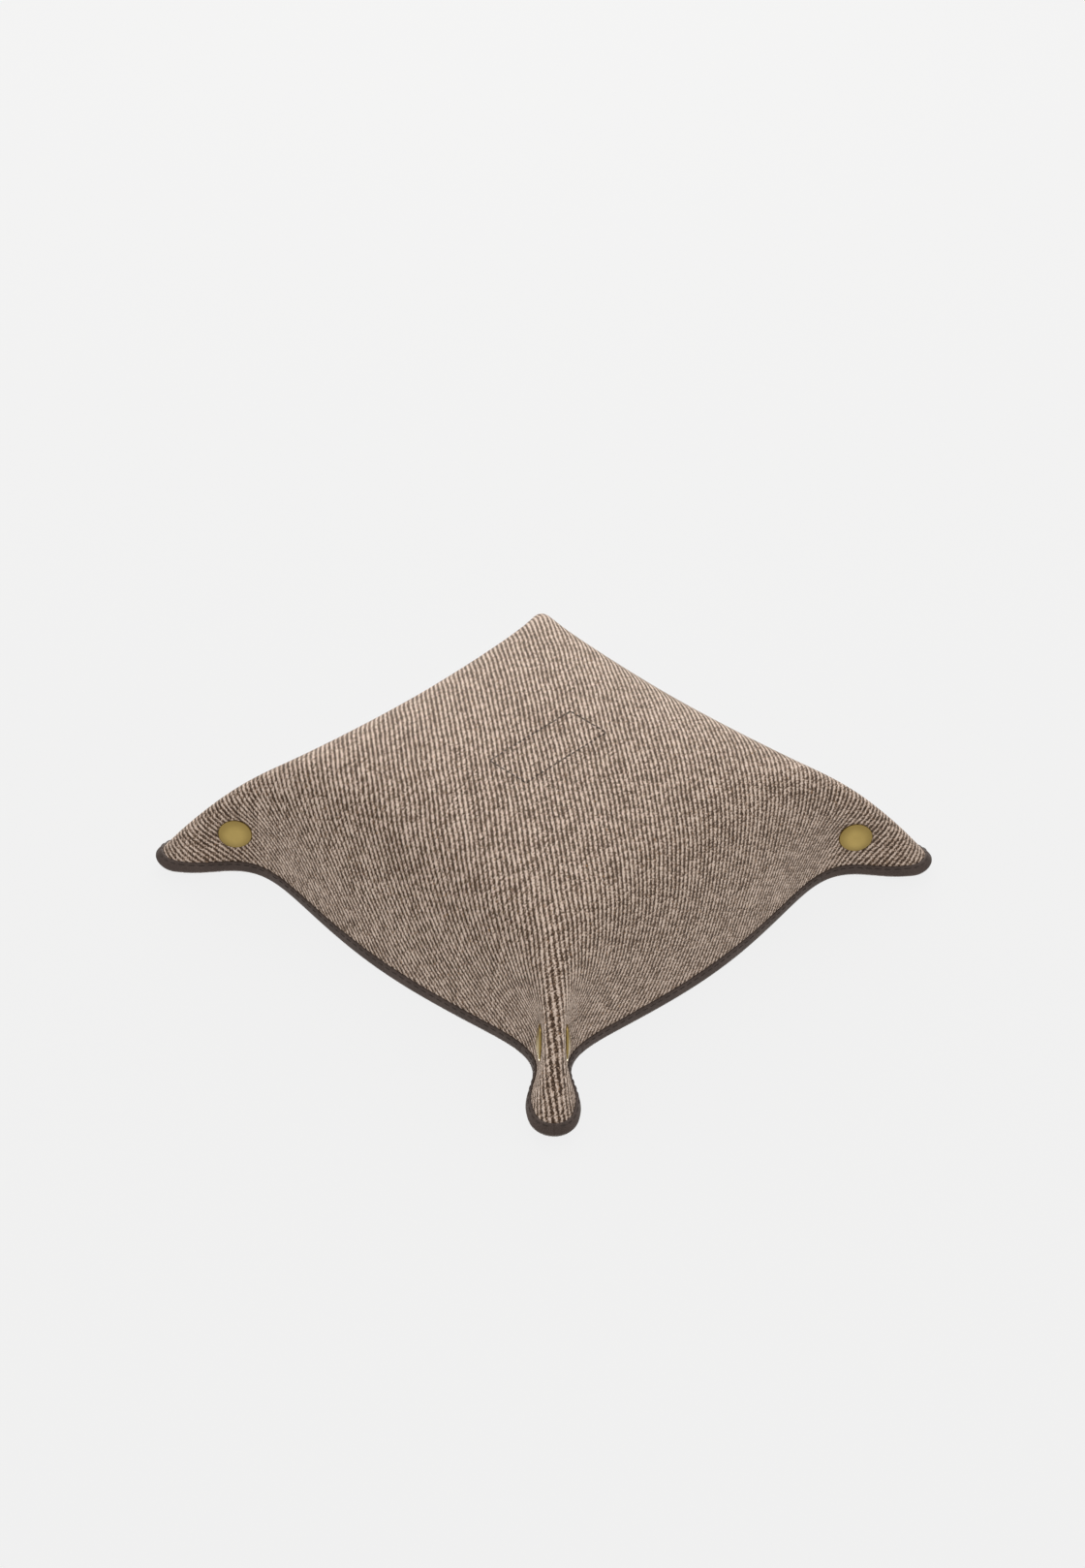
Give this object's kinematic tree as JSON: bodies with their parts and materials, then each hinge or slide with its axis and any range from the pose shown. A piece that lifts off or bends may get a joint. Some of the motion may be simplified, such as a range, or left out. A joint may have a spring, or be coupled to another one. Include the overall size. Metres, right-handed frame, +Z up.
{
  "type": "valet tray",
  "caption": "Square snap-corner valet tray of wool twill and leather: corners pinched by brass snaps, opening flat when unsnapped.",
  "frame": {"origin": "middle of the base's underside", "axes": "+Z up out of the open side, X and Y square to the walls"},
  "size_m": [0.2008, 0.2008, 0.0552],
  "materials": {
    "wool_twill": "brushed wool twill, beige and brown heather",
    "lining_leather": "smooth dark brown leather",
    "binding_leather": "dark brown leather binding, sewn",
    "patch_leather": "bare dark brown leather",
    "stiffener_board": "bonded leather board",
    "antique_brass": "antiqued brass"
  },
  "bodies": {
    "base": {"base_cover": "wool_twill", "base_stiffener": "stiffener_board", "base_lining": "lining_leather", "inside_patch": "patch_leather"},
    "right_wall": {"right_wall_cover": "wool_twill", "right_wall_lining": "lining_leather", "right_wall_binding": "binding_leather"},
    "right_wall_back_ear": {"right_wall_back_ear_cover": "wool_twill", "right_wall_back_ear_lining": "lining_leather", "right_wall_back_ear_binding": "binding_leather", "right_back_snap_socket_cap": "antique_brass", "right_back_snap_socket": "antique_brass"},
    "right_wall_front_ear": {"right_wall_front_ear_cover": "wool_twill", "right_wall_front_ear_lining": "lining_leather", "right_wall_front_ear_binding": "binding_leather", "front_right_snap_stud": "antique_brass", "front_right_snap_stud_cap": "antique_brass"},
    "back_wall": {"back_wall_cover": "wool_twill", "back_wall_lining": "lining_leather", "back_wall_binding": "binding_leather"},
    "back_wall_left_ear": {"back_wall_left_ear_cover": "wool_twill", "back_wall_left_ear_lining": "lining_leather", "back_wall_left_ear_binding": "binding_leather", "back_left_snap_socket_cap": "antique_brass", "back_left_snap_socket": "antique_brass"},
    "back_wall_right_ear": {"back_wall_right_ear_cover": "wool_twill", "back_wall_right_ear_lining": "lining_leather", "back_wall_right_ear_binding": "binding_leather", "right_back_snap_stud": "antique_brass", "right_back_snap_stud_cap": "antique_brass"},
    "left_wall": {"left_wall_cover": "wool_twill", "left_wall_lining": "lining_leather", "left_wall_binding": "binding_leather"},
    "left_wall_front_ear": {"left_wall_front_ear_cover": "wool_twill", "left_wall_front_ear_lining": "lining_leather", "left_wall_front_ear_binding": "binding_leather", "left_front_snap_socket_cap": "antique_brass", "left_front_snap_socket": "antique_brass"},
    "left_wall_back_ear": {"left_wall_back_ear_cover": "wool_twill", "left_wall_back_ear_lining": "lining_leather", "left_wall_back_ear_binding": "binding_leather", "back_left_snap_stud": "antique_brass", "back_left_snap_stud_cap": "antique_brass"},
    "front_wall": {"front_wall_cover": "wool_twill", "front_wall_lining": "lining_leather", "front_wall_binding": "binding_leather"},
    "front_wall_right_ear": {"front_wall_right_ear_cover": "wool_twill", "front_wall_right_ear_lining": "lining_leather", "front_wall_right_ear_binding": "binding_leather", "front_right_snap_socket_cap": "antique_brass", "front_right_snap_socket": "antique_brass"},
    "front_wall_left_ear": {"front_wall_left_ear_cover": "wool_twill", "front_wall_left_ear_lining": "lining_leather", "front_wall_left_ear_binding": "binding_leather", "left_front_snap_stud": "antique_brass", "left_front_snap_stud_cap": "antique_brass"}
  },
  "joints": [
    {"name": "right_wall_fold", "type": "hinge", "parent": "base", "child": "right_wall", "pos_m": [0.058, 0, 0], "axis": [0, 1, 0], "range_deg": [0, 70]},
    {"name": "right_wall_back_ear_fold", "type": "hinge", "parent": "right_wall", "child": "right_wall_back_ear", "pos_m": [0.05509, 0.058, 0.00106], "axis": [0.2658, 0.1969, 0.9437], "range_deg": [0, 39.48]},
    {"name": "right_wall_front_ear_fold", "type": "hinge", "parent": "right_wall", "child": "right_wall_front_ear", "pos_m": [0.05509, -0.058, 0.00106], "axis": [-0.2658, 0.1969, -0.9437], "range_deg": [0, 39.48]},
    {"name": "back_wall_fold", "type": "hinge", "parent": "base", "child": "back_wall", "pos_m": [0, 0.058, 0], "axis": [-1, 0, 0], "range_deg": [0, 70]},
    {"name": "back_wall_left_ear_fold", "type": "hinge", "parent": "back_wall", "child": "back_wall_left_ear", "pos_m": [-0.058, 0.05509, 0.00106], "axis": [-0.1969, 0.2658, 0.9437], "range_deg": [0, 39.48]},
    {"name": "back_wall_right_ear_fold", "type": "hinge", "parent": "back_wall", "child": "back_wall_right_ear", "pos_m": [0.058, 0.05509, 0.00106], "axis": [-0.1969, -0.2658, -0.9437], "range_deg": [0, 39.48]},
    {"name": "left_wall_fold", "type": "hinge", "parent": "base", "child": "left_wall", "pos_m": [-0.058, 0, 0], "axis": [0, -1, 0], "range_deg": [0, 70]},
    {"name": "left_wall_front_ear_fold", "type": "hinge", "parent": "left_wall", "child": "left_wall_front_ear", "pos_m": [-0.05509, -0.058, 0.00106], "axis": [-0.2658, -0.1969, 0.9437], "range_deg": [0, 39.48]},
    {"name": "left_wall_back_ear_fold", "type": "hinge", "parent": "left_wall", "child": "left_wall_back_ear", "pos_m": [-0.05509, 0.058, 0.00106], "axis": [0.2658, -0.1969, -0.9437], "range_deg": [0, 39.48]},
    {"name": "front_wall_fold", "type": "hinge", "parent": "base", "child": "front_wall", "pos_m": [0, -0.058, 0], "axis": [1, 0, 0], "range_deg": [0, 70]},
    {"name": "front_wall_right_ear_fold", "type": "hinge", "parent": "front_wall", "child": "front_wall_right_ear", "pos_m": [0.058, -0.05509, 0.00106], "axis": [0.1969, -0.2658, 0.9437], "range_deg": [0, 39.48]},
    {"name": "front_wall_left_ear_fold", "type": "hinge", "parent": "front_wall", "child": "front_wall_left_ear", "pos_m": [-0.058, -0.05509, 0.00106], "axis": [0.1969, 0.2658, -0.9437], "range_deg": [0, 39.48]}
  ],
  "couplings": [
    {"joint": "right_wall_back_ear_fold", "follows": "right_wall_fold", "ratio": 0.56404},
    {"joint": "right_wall_front_ear_fold", "follows": "right_wall_fold", "ratio": 0.56404},
    {"joint": "back_wall_fold", "follows": "right_wall_fold", "ratio": 1},
    {"joint": "back_wall_left_ear_fold", "follows": "right_wall_fold", "ratio": 0.56404},
    {"joint": "back_wall_right_ear_fold", "follows": "right_wall_fold", "ratio": 0.56404},
    {"joint": "left_wall_fold", "follows": "right_wall_fold", "ratio": 1},
    {"joint": "left_wall_front_ear_fold", "follows": "right_wall_fold", "ratio": 0.56404},
    {"joint": "left_wall_back_ear_fold", "follows": "right_wall_fold", "ratio": 0.56404},
    {"joint": "front_wall_fold", "follows": "right_wall_fold", "ratio": 1},
    {"joint": "front_wall_right_ear_fold", "follows": "right_wall_fold", "ratio": 0.56404},
    {"joint": "front_wall_left_ear_fold", "follows": "right_wall_fold", "ratio": 0.56404}
  ]
}
